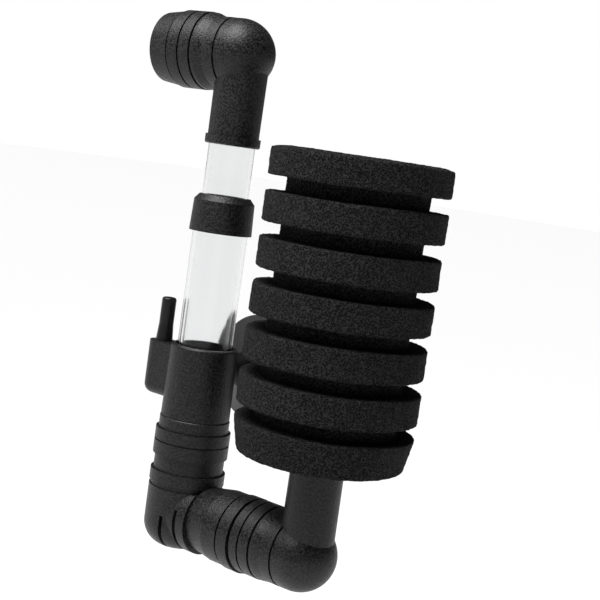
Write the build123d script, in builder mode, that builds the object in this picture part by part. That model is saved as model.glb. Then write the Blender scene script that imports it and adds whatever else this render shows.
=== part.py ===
from build123d import *
from math import cos, radians, sin
import os

# Air-driven sponge filter that hangs on a tank wall by one suction cup.
# Millimetres. The origin is the centre of the suction cup's rim on the wall:
# +Z is up, the wall is the plane Y = 0 and the filter stands in front of it, at negative Y.
# "Height" below always means height above the axis of the horizontal arm.

# Where the axes are
wall_gap = 32.0          # wall to the riser and sponge axes
arm_drop = 50.3          # suction cup's centre down to the arm's axis
arm_length = 58.0        # riser axis to sponge axis
riser_rise = 163.6       # arm's axis up to the outlet's axis
outlet_turn = 8.5        # degrees that the outlet is turned from -X towards the front

# Elbow moulding, used at the outlet and under the sponge; stations run out from the bend
ball_radius = 12.35
ball_shift = 1.7
crease_start = 4.6
crease_width = 0.8
crease_depth = 0.6
neck_radius = 12.4
neck_end = 9.8
shoulder_start = 12.9
shoulder_step = 0.2
rib_starts = [14.7, 19.6]
rib_gap = 0.7
rib_groove_depth = 1.5
outlet_rib_radius = 13.7
outlet_rib_end = 24.0
outlet_band_radius = 13.3
outlet_end_radius = 12.3
arm_rib_radius = 13.0
arm_rib_end = 23.0
spigot_radius = 11.2
spigot_round = 0.6
elbow_reach = 32.6
elbow_bore = 10.6
stem_radius_top = 9.2
stem_radius_end = 9.05
flange_radius = 9.8
flange_height = 3.3
flange_round = 0.7
stem_reach = 32.0
socket_depth = 18.0

# Clear tubes
upper_tube_radius = 8.2
upper_tube_bore = 7.0
upper_tube_low = 101.6
lower_tube_radius = 9.8
lower_tube_bore = 8.3

# Sliding collar at the top of the lower tube
riser_collar_low = 100.8
riser_collar_top = 113.8
riser_collar_radius = 11.15
riser_collar_waist = 10.75
riser_collar_mouth = 9.1
riser_collar_chamfer = 2.0
riser_collar_lip = 1.6
grip_ring_section = 0.9

# Air chamber: the upper half of the housing
chamber_low = 33.9
chamber_top = 60.0
chamber_radius = 12.4
chamber_rim_radius = 12.0
chamber_rim_round = 1.0
chamber_recess_depth = 5.0
chamber_recess_radius = 10.4
joint_bevel = 0.25
boss_radius = 5.1
boss_reach = 20.6
boss_low = 38.2
boss_top = 57.8
boss_round = 3.4
stub_radius = 5.3
stub_end = 10.3
air_passage_radius = 1.6

# Base elbow: the ribbed lower half of the housing
shaft_bore = 8.4
seat_height = 38.6
seat_radius = 10.9
barrel_radius = 12.6
lower_barrel_radius = 12.9
lower_barrel_top = 14.5
band_radius = 13.5
band_levels = [(25.5, 29.5), (20.1, 24.9), (10.3, 14.5)]
band_groove_depth = 0.5
corner_radius = 13.4
corner_top = 8.7
corner_low = -13.6
corner_round = 9.0
arm_body_drop = 0.8
arm_body_radius = 12.7
arm_body_end = 12.8
corner_grooves = [(1.7, -0.8), (7.6, 2.8)]
corner_groove_width = 1.4
corner_groove_floor = 11.3
arm_neck_radius = 11.4
arm_flare_end = 22.0
arm_bore = 9.7
arm_barrel_drop = 0.3
arm_barrel_radius = 13.0
mouth_ring_start = 29.3
mouth_ring_radius = 13.4
mouth_groove_width = 1.0
mouth_groove_floor = 12.0
arm_mouth = 34.0

# Bubble diffuser between the air chamber and the riser
diffuser_height = 5.0
diffuser_groove_depth = 0.9
diffuser_groove_height = 2.6
diffuser_holes = 12
diffuser_hole_radius = 0.5

# Air nipple
nipple_radius = 2.65
nipple_root_radius = 3.1
nipple_tip = 73.9
nipple_tip_round = 1.0
nipple_straight = 10.0
nipple_bore = 1.3
nipple_plug = 8.0

# Sponge and the strainer inside it
sponge_radius = 30.0
sponge_core = 23.5
sponge_top = 134.1
sponge_pitch = 14.83
sponge_disc = 9.8
sponge_last_disc = 11.2
sponge_discs = 7
sponge_bore = 8.5
sponge_bore_top = 128.2
sponge_last_inset = 2.2
strainer_radius = 8.2
strainer_bore = 6.9
strainer_top = 123.6
slot_rows = 12
slots_around = 4
slot_height = 2.4
slot_low = 41.6
slot_pitch = 6.6
cap_top = 127.6
cap_plug = 5.0

# Suction cup
cup_radius = 20.5
cup_rim = 1.2
cup_depth = 7.0
cup_hollow = 3.6
cup_hub_radius = 6.6
cup_hub_depth = 10.0
peg_radius = 3.3
peg_end = 18.5

running_gap = 0.08

riser = Plane(origin=(0, -wall_gap, -arm_drop))
sponge_axis = Plane(origin=(arm_length, -wall_gap, -arm_drop))
arm = Plane(origin=(0, -wall_gap, -arm_drop), x_dir=(0, 1, 0), z_dir=(1, 0, 0))
arm_low = Plane(origin=(0, -wall_gap, -arm_drop - arm_body_drop), x_dir=(0, 1, 0), z_dir=(1, 0, 0))
arm_outside = Plane(origin=(0, -wall_gap, -arm_drop - arm_barrel_drop), x_dir=(0, 1, 0), z_dir=(1, 0, 0))
cup_plane = Plane(origin=(0, 0, 0), x_dir=(1, 0, 0), z_dir=(0, -1, 0))


def rod(plane, start, radius, length, mode=Mode.ADD):
    """Round bar of one radius along a plane's normal."""
    with BuildSketch(plane.offset(start)) as section:
        Circle(radius)
    extrude(section.sketch, amount=length, mode=mode)


def cone(plane, start, start_radius, length, end_radius, mode=Mode.ADD):
    """Round bar that tapers along a plane's normal."""
    with BuildSketch(plane.offset(start)) as first:
        Circle(start_radius)
    with BuildSketch(plane.offset(start + length)) as last:
        Circle(end_radius)
    loft([first.sketch, last.sketch], mode=mode)


def ring(plane, start, outer, inner, length, mode=Mode.ADD):
    """Flat-ended ring along a plane's normal."""
    with BuildSketch(plane.offset(start)) as section:
        Circle(outer)
        Circle(inner, mode=Mode.SUBTRACT)
    extrude(section.sketch, amount=length, mode=mode)


def make_elbow(stem, mouth, rib_radius, rib_end, band_radius, end_radius):
    """Right-angle elbow: both planes start at the bend, one looks along the stem and one along the mouth."""
    shoulder_radius = rib_radius - shoulder_step
    rib_floor = rib_radius - rib_groove_depth
    plain_start = rib_end + rib_gap
    with BuildPart() as elbow:
        # Outside: ball, crease, neck, shoulder, two ribs, end band and the drafted stem with its flange
        with Locations(mouth.offset(ball_shift)):
            Sphere(ball_radius)
        rod(mouth, ball_shift, ball_radius, crease_start - ball_shift)
        rod(mouth, crease_start, neck_radius - crease_depth, crease_width)
        rod(mouth, crease_start + crease_width, neck_radius, neck_end - crease_start - crease_width)
        cone(mouth, neck_end, neck_radius, shoulder_start - neck_end, shoulder_radius)
        rod(mouth, shoulder_start, shoulder_radius, rib_starts[0] - rib_gap - shoulder_start)
        rod(mouth, shoulder_start, rib_floor, plain_start - shoulder_start)
        for near, far in zip(rib_starts, [rib_starts[1] - rib_gap, rib_end]):
            rod(mouth, near, rib_radius, far - near)
        cone(mouth, plain_start, band_radius, elbow_reach - plain_start, end_radius)
        fillet(elbow.edges().group_by(Axis(mouth.origin, mouth.z_dir))[-1], spigot_round)
        cone(stem, 0, stem_radius_top, stem_reach - flange_height, stem_radius_end)
        rod(stem, stem_reach - flange_height, flange_radius, flange_height)
        fillet(elbow.edges().group_by(Axis(stem.origin, stem.z_dir))[-1], flange_round)
        # Inside: water way along the mouth, passage down the stem and the socket for a tube
        with Locations(mouth.offset(ball_shift)):
            Sphere(elbow_bore - 0.2, mode=Mode.SUBTRACT)
        rod(mouth, ball_shift, elbow_bore, elbow_reach, mode=Mode.SUBTRACT)
        rod(stem, 0, upper_tube_bore, stem_reach, mode=Mode.SUBTRACT)
        rod(stem, stem_reach - socket_depth, strainer_radius + running_gap, socket_depth, mode=Mode.SUBTRACT)
    return elbow.part


def short_groove(station, top):
    """Groove round the arm's body that is cut only below one height."""
    with BuildPart() as groove:
        ring(arm_low, station, 2 * corner_radius, corner_groove_floor, corner_groove_width)
        with Locations(riser.offset(top)):
            Box(80, 80, 60, align=(Align.CENTER, Align.CENTER, Align.MIN), mode=Mode.SUBTRACT)
    return groove.part


os.makedirs("parts", exist_ok=True)

# ---- Suction cup: dished rubber disc with a hub and a peg ----
cup_section = Plane(origin=(0, 0, 0), x_dir=(1, 0, 0), z_dir=(0, 0, 1))
with BuildPart() as suction_cup:
    with BuildSketch(cup_section):
        with BuildLine():
            Line((cup_radius, 0), (cup_radius, -cup_rim))
            ThreePointArc(
                (cup_radius, -cup_rim),
                (0.68 * cup_radius, -0.52 * cup_depth),
                (cup_hub_radius, -cup_depth),
            )
            Polyline(
                (cup_hub_radius, -cup_depth),
                (cup_hub_radius, -cup_hub_depth),
                (0, -cup_hub_depth),
                (0, -cup_hollow),
            )
            ThreePointArc((0, -cup_hollow), (0.6 * cup_radius, -0.62 * cup_hollow), (cup_radius, 0))
        make_face()
    revolve(axis=Axis((0, 0, 0), (0, 1, 0)))
    rod(cup_plane, cup_hub_depth, peg_radius, peg_end - cup_hub_depth)
suction_cup.part.label = "suction_cup"
export_step(suction_cup.part, "parts/suction_cup.step")

# ---- Air chamber: upper half of the housing, with the air boss and the stub that holds the cup ----
with BuildPart() as air_chamber:
    cone(riser, chamber_low, chamber_radius, chamber_top - chamber_low, chamber_rim_radius)
    fillet(air_chamber.edges().group_by(Axis.Z)[-1], chamber_rim_round)
    chamfer(air_chamber.edges().group_by(Axis.Z)[0], joint_bevel)
    with BuildSketch(riser.offset(boss_low)):
        with Locations((-boss_reach / 2, 0)):
            SlotCenterToCenter(boss_reach, 2 * boss_radius)
    extrude(amount=boss_top - boss_low)
    boss_bottom = air_chamber.edges().filter_by_position(Axis.Z, boss_low - arm_drop, boss_low - arm_drop)
    fillet(boss_bottom.sort_by(Axis.X)[0:3], boss_round)
    rod(cup_plane, stub_end, stub_radius, wall_gap - stub_end - lower_tube_radius - 1)
    rod(cup_plane, stub_end, peg_radius + 0.05, peg_end - stub_end + 0.5, mode=Mode.SUBTRACT)
    # Bore for the tube, wider at the mouth, and a counterbore for the base elbow's seat
    rod(riser, chamber_low, lower_tube_radius, chamber_top - chamber_low, mode=Mode.SUBTRACT)
    recess_floor = chamber_top - chamber_recess_depth
    rod(riser, recess_floor, chamber_recess_radius, chamber_recess_depth, mode=Mode.SUBTRACT)
    rod(riser, chamber_low, seat_radius, seat_height - chamber_low, mode=Mode.SUBTRACT)
    # Air way: down the boss, then across into the diffuser's groove
    air_way_height = seat_height + diffuser_height / 2
    boss_axis = riser.offset(0).shift_origin((-boss_reach, -wall_gap, -arm_drop))
    rod(boss_axis, air_way_height, air_passage_radius, boss_top, mode=Mode.SUBTRACT)
    rod(boss_axis, boss_top - nipple_plug, nipple_root_radius, nipple_plug, mode=Mode.SUBTRACT)
    cross_way = Plane(boss_axis.offset(air_way_height).origin, x_dir=(0, 1, 0), z_dir=(1, 0, 0))
    rod(cross_way, 0, air_passage_radius * 0.75, boss_reach - lower_tube_radius + 1, mode=Mode.SUBTRACT)
air_chamber.part.label = "air_chamber"
export_step(air_chamber.part, "parts/air_chamber.step")

# ---- Corner of the base elbow: round-bottomed pot, the arm's body beside it and two short grooves ----
with BuildPart() as corner_pot:
    rod(riser, corner_low, corner_radius, corner_top - corner_low)
    fillet(corner_pot.edges().group_by(Axis.Z)[0], corner_round)

with BuildPart() as corner:
    rod(arm_low, 0, arm_body_radius, arm_body_end)
    with Locations(riser.offset(corner_top)):
        Box(60, 60, 20, align=(Align.CENTER, Align.CENTER, Align.MIN), mode=Mode.SUBTRACT)
    add(corner_pot.part)
    for station, groove_top in corner_grooves:
        add(short_groove(station, groove_top), mode=Mode.SUBTRACT)

# ---- Base elbow: ribbed pipe that turns the water from the arm up into the riser ----
with BuildPart() as base_elbow:
    add(corner.part)
    rod(riser, 0, lower_barrel_radius, lower_barrel_top)
    rod(riser, lower_barrel_top, barrel_radius, chamber_low - lower_barrel_top)
    chamfer(base_elbow.edges().group_by(Axis.Z)[-1], joint_bevel)
    for low, high in band_levels:
        rod(riser, low, band_radius, high - low)
    rod(riser, band_levels[1][0], band_radius - band_groove_depth, band_levels[0][1] - band_levels[1][0])
    rod(riser, chamber_low, seat_radius, seat_height - chamber_low)
    cone(arm_outside, arm_body_end, arm_neck_radius, arm_flare_end - arm_body_end, arm_barrel_radius)
    rod(arm_outside, arm_flare_end, arm_barrel_radius, mouth_ring_start - mouth_groove_width - arm_flare_end)
    rod(arm_outside, arm_flare_end, mouth_groove_floor, arm_mouth - arm_flare_end)
    rod(arm_outside, mouth_ring_start, mouth_ring_radius, arm_mouth - mouth_ring_start)
    # Water way and the socket in which the sponge elbow turns
    with Locations(riser):
        Sphere(elbow_bore - 0.2, mode=Mode.SUBTRACT)
    rod(riser, 0, shaft_bore, seat_height, mode=Mode.SUBTRACT)
    rod(arm, 0, arm_bore, arm_mouth, mode=Mode.SUBTRACT)
    socket_floor = arm_length - elbow_reach - 0.3
    rod(arm, socket_floor, spigot_radius + running_gap, arm_mouth - socket_floor, mode=Mode.SUBTRACT)
base_elbow.part.label = "base_elbow"
export_step(base_elbow.part, "parts/base_elbow.step")

# ---- Air nipple: tapered pipe for a soft air line, pushed into the boss ----
with BuildPart() as air_nipple:
    rod(boss_axis, boss_top - nipple_plug, nipple_root_radius, nipple_plug)
    cone(boss_axis, boss_top, nipple_root_radius, nipple_tip - nipple_straight - boss_top, nipple_radius)
    rod(boss_axis, nipple_tip - nipple_straight, nipple_radius, nipple_straight)
    fillet(air_nipple.edges().group_by(Axis.Z)[-1], nipple_tip_round)
    rod(boss_axis, boss_top - nipple_plug, nipple_bore, nipple_tip, mode=Mode.SUBTRACT)
air_nipple.part.label = "air_nipple"
export_step(air_nipple.part, "parts/air_nipple.step")

# ---- Bubble diffuser: ring whose outer groove takes the air and whose holes let it into the riser ----
with BuildPart() as air_diffuser:
    ring(riser, seat_height, lower_tube_radius, upper_tube_bore, diffuser_height)
    groove_low = seat_height + (diffuser_height - diffuser_groove_height) / 2
    groove_floor = lower_tube_radius - diffuser_groove_depth
    ring(riser, groove_low, lower_tube_radius, groove_floor, diffuser_groove_height, mode=Mode.SUBTRACT)
    for hole in range(diffuser_holes):
        turn = radians(360 * hole / diffuser_holes)
        spoke = Plane(
            origin=(0, -wall_gap, air_way_height - arm_drop),
            x_dir=(0, 0, 1),
            z_dir=(cos(turn), sin(turn), 0),
        )
        rod(spoke, 0, diffuser_hole_radius, lower_tube_radius, mode=Mode.SUBTRACT)
air_diffuser.part.label = "air_diffuser"
export_step(air_diffuser.part, "parts/air_diffuser.step")

# ---- Lower tube: clear outer half of the telescopic riser ----
lower_tube_low = seat_height + diffuser_height
ring_pocket_top = riser_collar_top - riser_collar_lip
lower_tube_top = ring_pocket_top - 2 * grip_ring_section
with BuildPart() as lower_tube:
    ring(riser, lower_tube_low, lower_tube_radius, lower_tube_bore, lower_tube_top - lower_tube_low)
lower_tube.part.label = "lower_tube"
export_step(lower_tube.part, "parts/lower_tube.step")

# ---- Riser collar: caps the lower tube, guides the upper one and traps the grip ring ----
with BuildPart() as riser_collar:
    shoulder = riser_collar_top - riser_collar_chamfer
    cone(riser, riser_collar_low, riser_collar_radius, shoulder - riser_collar_low, riser_collar_waist)
    cone(riser, shoulder, riser_collar_waist, riser_collar_chamfer, riser_collar_mouth)
    rod(riser, riser_collar_low, lower_tube_radius, ring_pocket_top - riser_collar_low, mode=Mode.SUBTRACT)
    rod(riser, ring_pocket_top, lower_tube_bore, riser_collar_lip, mode=Mode.SUBTRACT)
riser_collar.part.label = "riser_collar"
export_step(riser_collar.part, "parts/riser_collar.step")

# ---- Grip ring: soft ring that holds the upper tube where it is set ----
with BuildPart() as grip_ring:
    ring(riser, lower_tube_top, lower_tube_radius, upper_tube_radius + 0.04, 2 * grip_ring_section)
    fillet(grip_ring.edges().filter_by(GeomType.CIRCLE).sort_by(SortBy.RADIUS)[0:2], 0.6)
grip_ring.part.label = "grip_ring"
export_step(grip_ring.part, "parts/grip_ring.step")

# ---- Upper tube: clear inner half of the riser, plugged into the outlet elbow ----
upper_tube_top = riser_rise - stem_reach + socket_depth - 0.3
with BuildPart() as upper_tube:
    ring(riser, upper_tube_low, upper_tube_radius, upper_tube_bore, upper_tube_top - upper_tube_low)
upper_tube.part.label = "upper_tube"
export_step(upper_tube.part, "parts/upper_tube.step")

# ---- Outlet elbow at the top, and the same moulding under the sponge ----
outlet_centre = (0, -wall_gap, riser_rise - arm_drop)
outlet_stem = Plane(origin=outlet_centre, x_dir=(1, 0, 0), z_dir=(0, 0, -1))
outlet_way = (-cos(radians(outlet_turn)), -sin(radians(outlet_turn)), 0)
outlet_mouth = Plane(origin=outlet_centre, x_dir=(0, 0, 1), z_dir=outlet_way)
outlet_elbow = make_elbow(
    outlet_stem, outlet_mouth, outlet_rib_radius, outlet_rib_end, outlet_band_radius, outlet_end_radius
)
outlet_elbow.label = "outlet_elbow"
export_step(outlet_elbow, "parts/outlet_elbow.step")

arm_mouth_plane = Plane(origin=sponge_axis.origin, x_dir=(0, 0, 1), z_dir=(-1, 0, 0))
sponge_elbow = make_elbow(
    sponge_axis, arm_mouth_plane, arm_rib_radius, arm_rib_end, spigot_radius, spigot_radius
)
sponge_elbow.label = "sponge_elbow"
export_step(sponge_elbow, "parts/sponge_elbow.step")

# ---- Strainer: slotted tube inside the sponge, pushed into the sponge elbow's socket ----
with BuildPart() as strainer_tube:
    strainer_low = stem_reach - socket_depth
    rod(sponge_axis, strainer_low, strainer_radius + running_gap, socket_depth)
    rod(sponge_axis, stem_reach, strainer_radius, strainer_top - stem_reach)
    rod(sponge_axis, strainer_low, strainer_bore, strainer_top, mode=Mode.SUBTRACT)
    for row in range(slot_rows):
        level = slot_low + row * slot_pitch - arm_drop
        for quarter in range(slots_around):
            turn = 90 * quarter + 45 * (row % 2)
            with Locations(Location((arm_length, -wall_gap, level), (0, 0, turn))):
                Box(
                    strainer_radius + 1,
                    strainer_radius,
                    slot_height,
                    align=(Align.MIN, Align.CENTER, Align.CENTER),
                    mode=Mode.SUBTRACT,
                )
strainer_tube.part.label = "strainer_tube"
export_step(strainer_tube.part, "parts/strainer_tube.step")

# ---- Strainer cap: rounded plug that closes the strainer's top ----
with BuildPart() as strainer_cap:
    rod(sponge_axis, strainer_top, strainer_radius, cap_top - strainer_top)
    fillet(strainer_cap.edges().group_by(Axis.Z)[-1], 2.5)
    rod(sponge_axis, strainer_top - cap_plug, strainer_bore, cap_plug)
strainer_cap.part.label = "strainer_cap"
export_step(strainer_cap.part, "parts/strainer_cap.step")

# ---- Sponge: stack of foam discs cut from one block, with a blind bore for the strainer ----
sponge_low = sponge_top - (sponge_discs - 1) * sponge_pitch - sponge_last_disc
with BuildPart() as sponge:
    rod(sponge_axis, sponge_low, sponge_core, sponge_top - sponge_low)
    for disc in range(sponge_discs - 1):
        rod(sponge_axis, sponge_top - disc * sponge_pitch - sponge_disc, sponge_radius, sponge_disc)
    last_radius = sponge_radius - sponge_last_inset
    cone(sponge_axis, sponge_low, last_radius, sponge_last_disc, sponge_radius - 0.8)
    rod(sponge_axis, sponge_low, sponge_bore, sponge_bore_top - sponge_low, mode=Mode.SUBTRACT)
sponge.part.label = "sponge"
export_step(sponge.part, "parts/sponge.step")
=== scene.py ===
from math import cos, pi, radians, sin

import bmesh
import bpy
from mathutils import Matrix, Vector, noise


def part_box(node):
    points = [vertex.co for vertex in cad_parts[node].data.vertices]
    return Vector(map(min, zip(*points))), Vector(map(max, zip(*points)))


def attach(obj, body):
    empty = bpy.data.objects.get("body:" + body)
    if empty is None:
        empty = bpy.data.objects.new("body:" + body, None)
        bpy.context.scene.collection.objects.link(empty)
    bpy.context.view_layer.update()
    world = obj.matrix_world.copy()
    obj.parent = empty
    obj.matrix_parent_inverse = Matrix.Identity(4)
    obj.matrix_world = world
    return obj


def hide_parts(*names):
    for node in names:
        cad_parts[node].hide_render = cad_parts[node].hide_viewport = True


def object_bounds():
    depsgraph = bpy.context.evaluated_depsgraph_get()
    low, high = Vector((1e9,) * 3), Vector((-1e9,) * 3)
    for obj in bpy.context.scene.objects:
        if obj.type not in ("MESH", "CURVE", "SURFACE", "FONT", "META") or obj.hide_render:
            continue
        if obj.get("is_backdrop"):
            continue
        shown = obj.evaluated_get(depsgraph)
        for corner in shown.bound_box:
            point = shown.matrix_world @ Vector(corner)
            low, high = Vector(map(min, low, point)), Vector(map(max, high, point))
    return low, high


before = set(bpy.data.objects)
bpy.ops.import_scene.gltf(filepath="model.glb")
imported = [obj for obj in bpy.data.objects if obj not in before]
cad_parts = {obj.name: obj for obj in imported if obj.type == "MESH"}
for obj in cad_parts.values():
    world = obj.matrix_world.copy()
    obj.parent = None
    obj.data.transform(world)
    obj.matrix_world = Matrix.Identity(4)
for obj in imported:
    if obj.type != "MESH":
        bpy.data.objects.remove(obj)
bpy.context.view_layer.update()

MM = 0.001
MM_PER_METRE = 1000.0
UNIT = (0.0, 1.0)
NOISE_SPAN = (0.3, 0.7)  # most values of a noise texture lie in here


# ---------------------------------------------------------------- node helpers

def new_material(name):
    """Empty node material with its output and principled shader."""
    material = bpy.data.materials.new(name)
    material.use_nodes = True
    tree = material.node_tree
    tree.nodes.clear()
    output = tree.nodes.new("ShaderNodeOutputMaterial")
    shader = tree.nodes.new("ShaderNodeBsdfPrincipled")
    tree.links.new(shader.outputs["BSDF"], output.inputs["Surface"])
    return material, tree, shader


def object_coordinates(tree):
    """Coordinates in metres, fixed to the piece."""
    return tree.nodes.new("ShaderNodeTexCoord").outputs["Object"]


def noise_value(tree, coordinates, size_mm, detail=3.0, roughness=0.55):
    """Noise whose blotches are about size_mm across."""
    texture = tree.nodes.new("ShaderNodeTexNoise")
    texture.inputs["Scale"].default_value = MM_PER_METRE / size_mm
    texture.inputs["Detail"].default_value = detail
    texture.inputs["Roughness"].default_value = roughness
    tree.links.new(coordinates, texture.inputs["Vector"])
    return texture.outputs["Fac"]


def cell_distance(tree, coordinates, size_mm):
    """Distance to the nearest point of a random scatter about size_mm apart."""
    texture = tree.nodes.new("ShaderNodeTexVoronoi")
    texture.inputs["Scale"].default_value = MM_PER_METRE / size_mm
    tree.links.new(coordinates, texture.inputs["Vector"])
    return texture.outputs["Distance"]


def spread(tree, value, span, onto):
    """Maps one span, given as (low, high), onto another."""
    node = tree.nodes.new("ShaderNodeMapRange")
    node.inputs["From Min"].default_value = span[0]
    node.inputs["From Max"].default_value = span[1]
    node.inputs["To Min"].default_value = onto[0]
    node.inputs["To Max"].default_value = onto[1]
    tree.links.new(value, node.inputs["Value"])
    return node.outputs["Result"]


def grey(value):
    """Neutral colour."""
    return (value, value, value)


def two_tone(tree, value, dark, light):
    """Colour that runs from dark to light as value goes from 0 to 1."""
    ramp = tree.nodes.new("ShaderNodeValToRGB")
    ramp.color_ramp.elements[0].color = (*dark, 1.0)
    ramp.color_ramp.elements[1].color = (*light, 1.0)
    tree.links.new(value, ramp.inputs["Fac"])
    return ramp.outputs["Color"]


def bump(tree, height, depth_mm, strength=1.0, base=None):
    """Surface relief of depth_mm, laid over an earlier relief if one is given."""
    node = tree.nodes.new("ShaderNodeBump")
    node.inputs["Strength"].default_value = strength
    node.inputs["Distance"].default_value = depth_mm * MM
    tree.links.new(height, node.inputs["Height"])
    if base is not None:
        tree.links.new(base, node.inputs["Normal"])
    return node.outputs["Normal"]


# ---------------------------------------------------------------- black plastic

BLOTCH_MM = 9.0
BLOTCH_SHARE = 0.2
SPECKLE_SPAN = (0.47, 0.55)
SPECKLE_TONE = (0.0, 0.9)
RIPPLE_MM = 5.0
RIPPLE_DEPTH_MM = 0.05
RIPPLE_STRENGTH = 0.35
PLASTIC_SPECULAR = 0.27


def grained_plastic(name, dark, light, grain_mm=0.62, grain_depth_mm=0.16, rough=(0.32, 0.56)):
    """Black moulded plastic with a spark-eroded grain and a slightly uneven gloss."""
    material, tree, shader = new_material(name)
    place = object_coordinates(tree)
    blotch = noise_value(tree, place, BLOTCH_MM, detail=4.0)
    grain = noise_value(tree, place, grain_mm, detail=1.0, roughness=0.5)
    ripple = noise_value(tree, place, RIPPLE_MM, detail=1.0)
    speckle = spread(tree, grain, SPECKLE_SPAN, SPECKLE_TONE)
    patchy = tree.nodes.new("ShaderNodeMath")
    patchy.operation = "MULTIPLY_ADD"
    tree.links.new(blotch, patchy.inputs[0])
    patchy.inputs[1].default_value = BLOTCH_SHARE
    tree.links.new(speckle, patchy.inputs[2])
    tone = two_tone(tree, patchy.outputs["Value"], grey(dark), grey(light))
    tree.links.new(tone, shader.inputs["Base Color"])
    tree.links.new(spread(tree, grain, NOISE_SPAN, rough), shader.inputs["Roughness"])
    relief = bump(tree, ripple, RIPPLE_DEPTH_MM, RIPPLE_STRENGTH)
    relief = bump(tree, grain, grain_depth_mm, base=relief)
    tree.links.new(relief, shader.inputs["Normal"])
    shader.inputs["Specular IOR Level"].default_value = PLASTIC_SPECULAR
    return material


# ---------------------------------------------------------------- clear acrylic

DRAW_LINE_MM = 1.5
DRAW_LINE_SQUEEZE = (1.0, 1.0, 0.02)  # stretches the noise 50 times along Z
DRAW_LINE_SPAN = (0.35, 0.75)
DRAW_LINE_DEPTH_MM = 0.004
DRAW_LINE_STRENGTH = 0.2
ACRYLIC_ROUGH = (0.10, 0.14)
ACRYLIC_DARK = (0.905, 0.910, 0.912)
ACRYLIC_LIGHT = (0.925, 0.930, 0.932)
ACRYLIC_IOR = 1.25  # below acrylic's own 1.49, so the tubes bend less of what is behind them


def clear_acrylic(name):
    """Clear tube with a faintly matt skin and draw lines along its length."""
    material, tree, shader = new_material(name)
    place = object_coordinates(tree)
    squeeze = tree.nodes.new("ShaderNodeMapping")
    squeeze.inputs["Scale"].default_value = DRAW_LINE_SQUEEZE
    tree.links.new(place, squeeze.inputs["Vector"])
    lines = noise_value(tree, squeeze.outputs["Vector"], DRAW_LINE_MM, detail=2.0)
    tree.links.new(spread(tree, lines, DRAW_LINE_SPAN, ACRYLIC_ROUGH), shader.inputs["Roughness"])
    tree.links.new(bump(tree, lines, DRAW_LINE_DEPTH_MM, DRAW_LINE_STRENGTH), shader.inputs["Normal"])
    tree.links.new(two_tone(tree, lines, ACRYLIC_DARK, ACRYLIC_LIGHT), shader.inputs["Base Color"])
    shader.inputs["Transmission Weight"].default_value = 1.0
    shader.inputs["IOR"].default_value = ACRYLIC_IOR
    return material


# ---------------------------------------------------------------- foam

WARP_SCALE = 700.0
WARP_SHIFT = 0.8 * MM
PORE_MM = 0.58
PORE_DEPTH_MM = 0.8
FINE_PORE_MM = 0.30
FINE_PORE_DEPTH_MM = 0.35
FLUFF_MM = 0.7
FLUFF_DEPTH_MM = 0.3
FOAM_PATCH_MM = 14.0
FOAM_ROUGH = (0.75, 0.95)
FOAM_SPECULAR = 0.12
STRAND_SPAN = (0.35, 0.62)
# painted shade: the near-black colour given to the foam's pits, darker than its strands
PIT_PAINTED_SHADE = (0.0003, 0.0003, 0.0003)
STRAND_LIGHT = (0.0270, 0.0265, 0.0275)


def open_foam(name):
    """Black open-cell foam: pits painted dark as shade, between slightly lighter strands."""
    material, tree, shader = new_material(name)
    place = object_coordinates(tree)
    warp = tree.nodes.new("ShaderNodeTexNoise")
    warp.inputs["Scale"].default_value = WARP_SCALE
    tree.links.new(place, warp.inputs["Vector"])
    shifted = tree.nodes.new("ShaderNodeVectorMath")
    shifted.operation = "MULTIPLY_ADD"
    tree.links.new(warp.outputs["Color"], shifted.inputs[0])
    shifted.inputs[1].default_value = (WARP_SHIFT, WARP_SHIFT, WARP_SHIFT)
    tree.links.new(place, shifted.inputs[2])
    pores = cell_distance(tree, shifted.outputs["Vector"], PORE_MM)
    fine = cell_distance(tree, shifted.outputs["Vector"], FINE_PORE_MM)
    fluff = noise_value(tree, place, FLUFF_MM, detail=4.0, roughness=0.7)
    patch = noise_value(tree, place, FOAM_PATCH_MM)
    # Painted shade: the pits, sunk by the same pore distance in the bump below, are coloured near black;
    # the strands keep the foam's own dark grey.
    strand_or_pit_shade = spread(tree, pores, STRAND_SPAN, UNIT)
    tree.links.new(two_tone(tree, strand_or_pit_shade, PIT_PAINTED_SHADE, STRAND_LIGHT), shader.inputs["Base Color"])
    relief = bump(tree, pores, PORE_DEPTH_MM)
    relief = bump(tree, fine, FINE_PORE_DEPTH_MM, strength=0.9, base=relief)
    relief = bump(tree, fluff, FLUFF_DEPTH_MM, strength=0.7, base=relief)
    tree.links.new(relief, shader.inputs["Normal"])
    tree.links.new(spread(tree, patch, NOISE_SPAN, FOAM_ROUGH), shader.inputs["Roughness"])
    shader.inputs["Specular IOR Level"].default_value = FOAM_SPECULAR
    return material


# ---------------------------------------------------------------- vinyl and floor board

BLOOM_MM = 7.0
BLOOM_DARK = 0.008
BLOOM_LIGHT = 0.014
VINYL_ROUGH = (0.30, 0.45)
SPECK_MM = 0.5
SPECK_DEPTH_MM = 0.02
TOOTH_MM = 2.0
TOOTH_DEPTH_MM = 0.05
BOARD_DARK = 0.91
BOARD_LIGHT = 0.94
BOARD_ROUGH = 0.85


def soft_rubber(name):
    """Dark flexible vinyl with a slight bloom."""
    material, tree, shader = new_material(name)
    place = object_coordinates(tree)
    bloom = noise_value(tree, place, BLOOM_MM, detail=4.0)
    specks = noise_value(tree, place, SPECK_MM, detail=2.0)
    haze = spread(tree, bloom, NOISE_SPAN, UNIT)
    tone = two_tone(tree, haze, grey(BLOOM_DARK), grey(BLOOM_LIGHT))
    tree.links.new(tone, shader.inputs["Base Color"])
    tree.links.new(spread(tree, bloom, NOISE_SPAN, VINYL_ROUGH), shader.inputs["Roughness"])
    tree.links.new(bump(tree, specks, SPECK_DEPTH_MM, strength=0.5), shader.inputs["Normal"])
    return material


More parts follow.
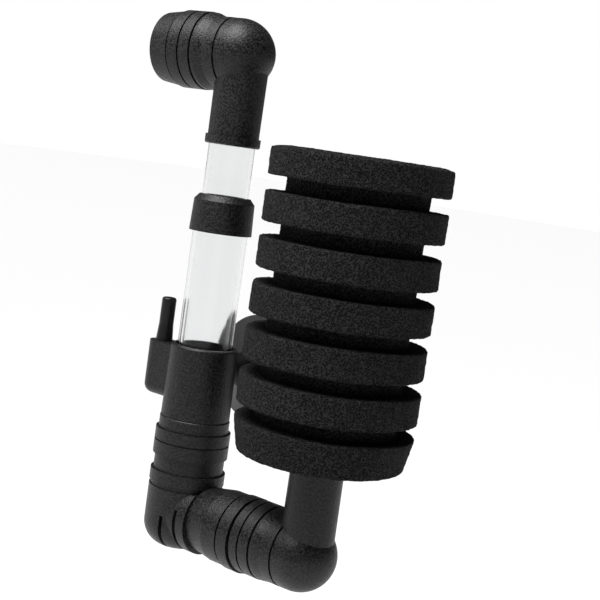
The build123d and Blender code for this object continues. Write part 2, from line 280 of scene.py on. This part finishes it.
def pale_floor(name):
    """Matt pale board with a faint tooth."""
    material, tree, shader = new_material(name)
    place = object_coordinates(tree)
    tooth = noise_value(tree, place, TOOTH_MM, detail=4.0)
    tone = two_tone(tree, tooth, grey(BOARD_DARK), grey(BOARD_LIGHT))
    tree.links.new(tone, shader.inputs["Base Color"])
    tree.links.new(bump(tree, tooth, TOOTH_DEPTH_MM, strength=0.2), shader.inputs["Normal"])
    shader.inputs["Roughness"].default_value = BOARD_ROUGH
    return material


# ---------------------------------------------------------------- materials of the CAD pieces

SMOOTH_GRAIN_MM = 0.5
SMOOTH_DEPTH_MM = 0.03

housing_plastic = grained_plastic("housing_plastic", dark=0.0003, light=0.0150)
elbow_plastic = grained_plastic("elbow_plastic", dark=0.0003, light=0.0170)
nipple_plastic = grained_plastic(
    "nipple_plastic", dark=0.003, light=0.007,
    grain_mm=SMOOTH_GRAIN_MM, grain_depth_mm=SMOOTH_DEPTH_MM, rough=(0.28, 0.42),
)
strainer_plastic = grained_plastic(
    "strainer_plastic", dark=0.004, light=0.010,
    grain_mm=SMOOTH_GRAIN_MM, grain_depth_mm=SMOOTH_DEPTH_MM, rough=(0.30, 0.45),
)
acrylic = clear_acrylic("clear_acrylic")
foam = open_foam("foam")
rubber = soft_rubber("soft_rubber")

NODE_MATERIALS = {
    "suction_cup": rubber,
    "grip_ring": rubber,
    "air_chamber": housing_plastic,
    "base_elbow": housing_plastic,
    "air_nipple": nipple_plastic,
    "air_diffuser": strainer_plastic,
    "strainer_tube": strainer_plastic,
    "strainer_cap": strainer_plastic,
    "riser_collar": elbow_plastic,
    "outlet_elbow": elbow_plastic,
    "sponge_elbow": elbow_plastic,
    "lower_tube": acrylic,
    "upper_tube": acrylic,
}
for node, material in NODE_MATERIALS.items():
    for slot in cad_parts[node].material_slots:
        slot.material = material


# ---------------------------------------------------------------- sponge

DISCS = 7
CORE_RADIUS = 23.5 * MM
GROOVE = 5.03 * MM
EDGE_ROUND = 0.7 * MM
EDGE_STEPS = 3
TOP_BEVEL_DROP = 0.9 * MM
TOP_BEVEL_RUN = 4 * TOP_BEVEL_DROP
LAST_INSET = 2.2 * MM
LAST_DISC = 11.2 * MM
BORE_RADIUS = 8.5 * MM
BORE_DEPTH = 94.3 * MM
TURNS = 236
STEP = 0.85 * MM
CELL_SIZE = 1.3 * MM
CELL_DEPTH = 0.34 * MM
LUMP_SIZE = 2.6 * MM
LUMP_HEIGHT = 0.16 * MM
SAG_SIZE = 28 * MM
SAG_DEPTH = 0.45 * MM
UPRIGHT_OFFSET = Vector((0.05, 0.02, 0.0))  # where the noise for up and down is read
UPRIGHT_SHARE = 0.8


def sponge_outline(radius, height):
    """Corner points (radius, height) of the skin, from the middle of the top to the end of the bore."""
    pitch = (height - LAST_DISC) / (DISCS - 1)
    points = [(0.0, height), (radius - TOP_BEVEL_RUN, height), (radius, height - TOP_BEVEL_DROP)]
    for number in range(DISCS - 1):
        groove_low = height - (number + 1) * pitch
        groove_top = groove_low + GROOVE
        points += [(radius, groove_top), (CORE_RADIUS, groove_top)]
        points += [(CORE_RADIUS, groove_low), (radius, groove_low)]
    points += [(radius - LAST_INSET, 0.0), (BORE_RADIUS, 0.0)]
    points += [(BORE_RADIUS, BORE_DEPTH), (0.0, BORE_DEPTH)]
    return points


def rounded(points, blend):
    """The same line with each inner corner rounded off from blend before it to blend after it."""
    result = [Vector(points[0])]
    for before, corner, after in zip(points, points[1:], points[2:]):
        corner = Vector(corner)
        back = (Vector(before) - corner).normalized() * blend
        ahead = (Vector(after) - corner).normalized() * blend
        for step in range(EDGE_STEPS + 1):
            t = step / EDGE_STEPS
            result.append(corner + back * (1 - t) ** 2 + ahead * t ** 2)
    result.append(Vector(points[-1]))
    return result


def resampled(points, step):
    """The same line with points about one step apart."""
    result = [points[0]]
    for start, end in zip(points, points[1:]):
        pieces = max(1, round((end - start).length / step))
        result += [start.lerp(end, n / pieces) for n in range(1, pieces + 1)]
    return result


def foam_roughness(place):
    """How far a point of the foam's skin stands out, in metres."""
    cell = noise.voronoi(place * (1 / CELL_SIZE))[0][0] - 0.5
    lumps = noise.noise(place * (1 / LUMP_SIZE))
    sag = noise.noise(place * (1 / SAG_SIZE))
    return -CELL_DEPTH * cell + LUMP_HEIGHT * lumps + SAG_DEPTH * sag


def skin_point(axis, angle, radius, height):
    """Point of the turned skin, roughened where it is further out than the bore."""
    outward = Vector((cos(angle), sin(angle), 0.0))
    place = Vector((axis.x + radius * cos(angle), axis.y + radius * sin(angle), height))
    if BORE_RADIUS < radius:
        place += outward * foam_roughness(place)
        place.z += foam_roughness(place + UPRIGHT_OFFSET) * UPRIGHT_SHARE
    return place


def add_cap(mesh, ring, middle, flip):
    """Fan of triangles that closes a ring."""
    centre = mesh.verts.new(middle)
    for turn in range(TURNS):
        corners = (centre, ring[turn], ring[(turn + 1) % TURNS])
        mesh.faces.new(corners[::-1] if flip else corners)


def turned_skin(outline, axis, base):
    """Closed mesh of the outline turned about an upright axis."""
    mesh = bmesh.new()
    rings = []
    for radius, height in outline[1:-1]:
        angles = [2 * pi * turn / TURNS for turn in range(TURNS)]
        rings.append([mesh.verts.new(skin_point(axis, angle, radius, base + height)) for angle in angles])
    for upper, lower in zip(rings, rings[1:]):
        for turn in range(TURNS):
            after = (turn + 1) % TURNS
            mesh.faces.new((upper[turn], lower[turn], lower[after], upper[after]))
    add_cap(mesh, rings[0], (axis.x, axis.y, base + outline[0].y), flip=False)
    add_cap(mesh, rings[-1], (axis.x, axis.y, base + outline[-1].y), flip=True)
    bmesh.ops.recalc_face_normals(mesh, faces=mesh.faces)
    return mesh


def new_object(name, mesh, material):
    """Object in the scene, made from a bmesh and one material."""
    data = bpy.data.meshes.new(name)
    mesh.to_mesh(data)
    mesh.free()
    data.materials.append(material)
    thing = bpy.data.objects.new(name, data)
    bpy.context.scene.collection.objects.link(thing)
    return thing


def make_sponge():
    """Seven foam discs on one core, turned from their outline and roughened."""
    low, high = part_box("sponge")
    axis = (Vector(low) + Vector(high)) / 2
    radius = (high[0] - low[0]) / 2
    height = high[2] - low[2]
    outline = resampled(rounded(sponge_outline(radius, height), EDGE_ROUND), STEP)
    piece = new_object("foam_sponge", turned_skin(outline, axis, low[2]), foam)
    for face in piece.data.polygons:
        face.use_smooth = True
    return piece


sponge = make_sponge()
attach(sponge, "foam")
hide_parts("sponge")


# ---------------------------------------------------------------- floor, light and camera

FLOOR_GAP = 150 * MM
FLOOR_SIZE = 12.0
FLOOR_SQUARES = 8
VIEW_AZIMUTH = 38.9
VIEW_ELEVATION = 6.2
VIEW_ROLL = 8.2
VIEW_DISTANCE = 0.452
VIEW_TARGET = Vector((0.0244, -0.0123, 0.0308))
LENS = 76.2
SENSOR_WIDTH = 36.0
OBJECT_TOP = Vector((0.02, -0.03, 0.10))


def make_floor():
    """Flat pale floor well below the object, which hangs on a wall."""
    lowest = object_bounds()[0][2]
    mesh = bmesh.new()
    bmesh.ops.create_grid(mesh, x_segments=FLOOR_SQUARES, y_segments=FLOOR_SQUARES, size=FLOOR_SIZE)
    floor = new_object("floor", mesh, pale_floor("floor_board"))
    floor.location = (0.0, 0.0, lowest - FLOOR_GAP)
    return floor


def make_world(seen, felt):
    """White surroundings: bright behind the object, dimmer as a light."""
    world = bpy.data.worlds.new("studio")
    world.use_nodes = True
    tree = world.node_tree
    tree.nodes.clear()
    output = tree.nodes.new("ShaderNodeOutputWorld")
    sky = tree.nodes.new("ShaderNodeBackground")
    path = tree.nodes.new("ShaderNodeLightPath")
    either = tree.nodes.new("ShaderNodeMath")
    either.operation = "MAXIMUM"
    tree.links.new(path.outputs["Is Camera Ray"], either.inputs[0])
    tree.links.new(path.outputs["Is Transmission Ray"], either.inputs[1])
    strength = spread(tree, either.outputs["Value"], UNIT, (felt, seen))
    tree.links.new(strength, sky.inputs["Strength"])
    tree.links.new(sky.outputs["Background"], output.inputs["Surface"])
    sky.inputs["Color"].default_value = (*grey(1.0), 1.0)
    bpy.context.scene.world = world


def direction(azimuth, elevation):
    """Unit vector from the object: azimuth 0 is towards -Y, 90 towards +X."""
    a, e = radians(azimuth), radians(elevation)
    return Vector((sin(a) * cos(e), -cos(a) * cos(e), sin(e)))


def hang_lamp(data, away, place):
    """Lamp at a place, shining back along the direction away."""
    lamp = bpy.data.objects.new(data.name, data)
    lamp.location = place
    lamp.rotation_euler = away.to_track_quat("Z", "Y").to_euler()
    bpy.context.scene.collection.objects.link(lamp)


def softbox(name, azimuth, elevation, distance, size, power, target):
    """Rectangular lamp of a (width, height) that looks at the target."""
    data = bpy.data.lights.new(name, "AREA")
    data.shape = "RECTANGLE"
    data.size = size[0]
    data.size_y = size[1]
    data.energy = power
    away = direction(azimuth, elevation)
    hang_lamp(data, away, target + away * distance)


def sun(name, azimuth, elevation, spread_angle, strength):
    """Sun lamp with a very wide disc, for soft light that is even over the whole floor."""
    data = bpy.data.lights.new(name, "SUN")
    data.angle = radians(spread_angle)
    data.energy = strength
    hang_lamp(data, direction(azimuth, elevation), Vector())


def make_camera():
    """Camera about level with the sponge's top, rolled so that the riser leans right."""
    a, roll = radians(VIEW_AZIMUTH), radians(VIEW_ROLL)
    back = direction(VIEW_AZIMUTH, VIEW_ELEVATION)
    level_right = Vector((cos(a), sin(a), 0.0))
    level_up = back.cross(level_right)
    right = level_right * cos(roll) + level_up * sin(roll)
    up = level_up * cos(roll) - level_right * sin(roll)
    data = bpy.data.cameras.new("camera")
    data.lens = LENS
    data.sensor_width = SENSOR_WIDTH
    camera = bpy.data.objects.new("camera", data)
    turn = Matrix((right, up, back)).transposed().to_4x4()
    camera.matrix_world = Matrix.Translation(VIEW_TARGET + back * VIEW_DISTANCE) @ turn
    bpy.context.scene.collection.objects.link(camera)
    bpy.context.scene.camera = camera


make_floor()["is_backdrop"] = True
make_world(seen=1.0, felt=0.10)
sun("daylight", azimuth=-20, elevation=62, spread_angle=50, strength=3.6)
softbox("left", azimuth=-60, elevation=30, distance=0.6, size=(0.4, 0.5), power=0.6, target=VIEW_TARGET)
softbox("top", azimuth=-10, elevation=62, distance=0.32, size=(0.25, 0.25), power=1.2, target=OBJECT_TOP)
make_camera()
bpy.context.scene.view_settings.view_transform = "Standard"
